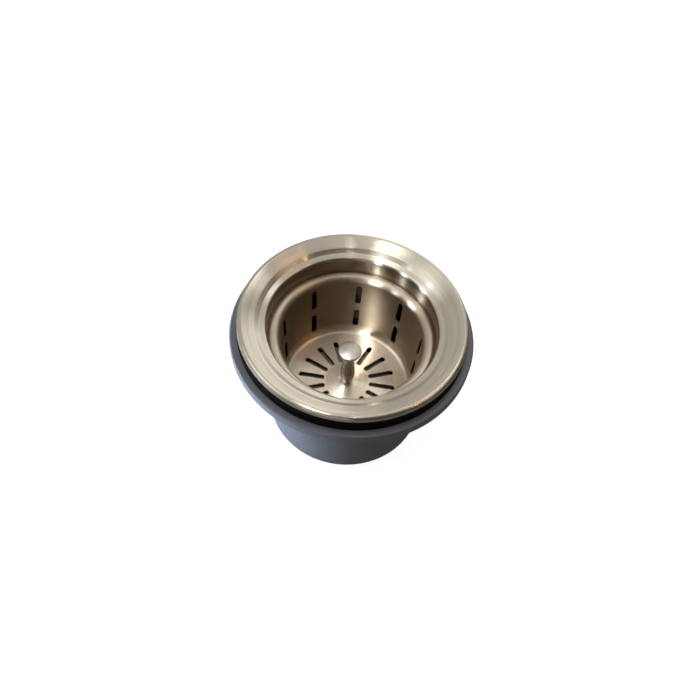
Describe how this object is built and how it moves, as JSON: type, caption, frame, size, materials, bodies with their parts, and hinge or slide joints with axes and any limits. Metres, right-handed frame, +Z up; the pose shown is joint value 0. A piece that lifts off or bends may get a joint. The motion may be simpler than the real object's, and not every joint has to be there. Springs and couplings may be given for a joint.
{
  "type": "sink basket strainer",
  "caption": "Kitchen sink basket strainer: brushed steel flange and bowl, lift-out slotted basket with knob and stopper, black gaskets, grey plastic cup with threaded outlet.",
  "frame": {"origin": "centre of the outlet spout's end face, the lowest point of the part", "axes": "+Z up along the drain's axis, from the outlet to the flange; the picture looks along +Y"},
  "size_m": [0.122, 0.122, 0.1061],
  "materials": {
    "flange_steel": "satin stainless steel, brushed in circles",
    "basket_steel": "satin stainless steel, brushed in circles",
    "stem_steel": "turned and polished steel",
    "knob_steel": "turned steel with a satin face",
    "plate_steel": "plain stainless sheet",
    "fastener_steel": "plain stainless fasteners",
    "gasket_rubber": "matt black rubber",
    "cup_plastic": "moulded blue-grey plastic",
    "insert_brass": "machined brass",
    "spacer_plastic": "natural nylon"
  },
  "bodies": {
    "cup": {"drain_cup": "cup_plastic", "outlet_spout": "cup_plastic", "thread_insert": "insert_brass", "lower_gasket": "gasket_rubber"},
    "flange": {"flange_bowl": "flange_steel", "upper_gasket": "gasket_rubber", "bolt_seal": "gasket_rubber", "bolt_washer": "fastener_steel"},
    "bolt": {"clamp_bolt": "fastener_steel"},
    "basket": {"strainer_basket": "basket_steel", "lift_stem": "stem_steel", "knob_cap": "knob_steel", "stopper_spacer": "spacer_plastic", "stopper_plate": "plate_steel", "stopper_rubber": "gasket_rubber", "stopper_washer": "fastener_steel", "stopper_screw": "fastener_steel"}
  },
  "joints": [
    {"name": "clamp_gap", "type": "slide", "parent": "cup", "child": "flange", "axis": [0, 0, 1], "range_m": [0, 0.01]},
    {"name": "bolt_turn", "type": "hinge", "parent": "flange", "child": "bolt", "pos_m": [0, 0, 0.034], "axis": [0, 0, 1], "range_deg": [0, 2880]},
    {"name": "basket_lift", "type": "slide", "parent": "flange", "child": "basket", "axis": [0, 0, 1], "range_m": [0, 0.08]}
  ],
  "couplings": [
    {"joint": "bolt_turn", "follows": "clamp_gap", "rad_per_m": 5026.5}
  ]
}
